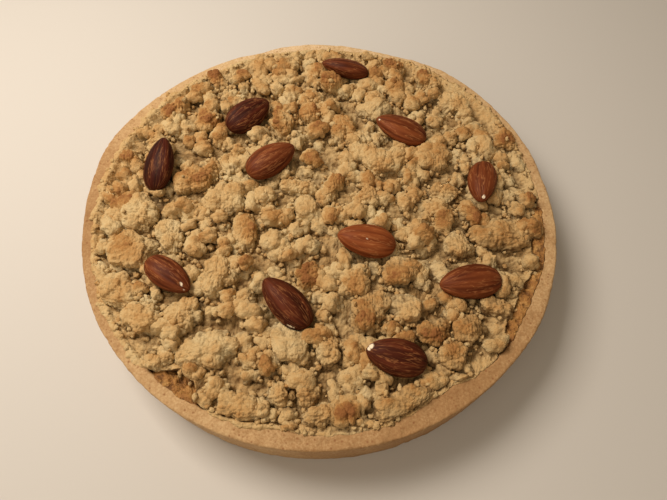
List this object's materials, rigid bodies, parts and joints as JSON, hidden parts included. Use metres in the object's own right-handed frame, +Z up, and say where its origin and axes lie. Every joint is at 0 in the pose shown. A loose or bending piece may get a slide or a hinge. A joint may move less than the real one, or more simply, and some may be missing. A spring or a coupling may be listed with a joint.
{
  "type": "pear and almond tart",
  "caption": "Whole round tart: a straight-sided shortcrust case filled level, covered with a rough heap of baked crumble and dotted with whole almonds.",
  "frame": {"origin": "middle of the tart's box, on the flat base that it rests on", "axes": "+Z up, out of the crumble; -Y towards the side that faces the viewer; +X to the viewer's right"},
  "size_m": [0.2002, 0.1998, 0.0353],
  "materials": {
    "shortcrust": "baked shortcrust, matte and sandy",
    "filling": "browned almond cream, matte",
    "crumble": "baked crumble, matte and grainy",
    "almond": "roasted almond skin, finely ridged, semi-gloss"
  },
  "bodies": {
    "root": {"pastry_case": "shortcrust", "filling": "filling", "crumble": "crumble", "almond_01": "almond", "almond_02": "almond", "almond_03": "almond", "almond_04": "almond", "almond_05": "almond", "almond_06": "almond", "almond_07": "almond", "almond_08": "almond", "almond_09": "almond", "almond_10": "almond", "almond_11": "almond"}
  },
  "joints": []
}
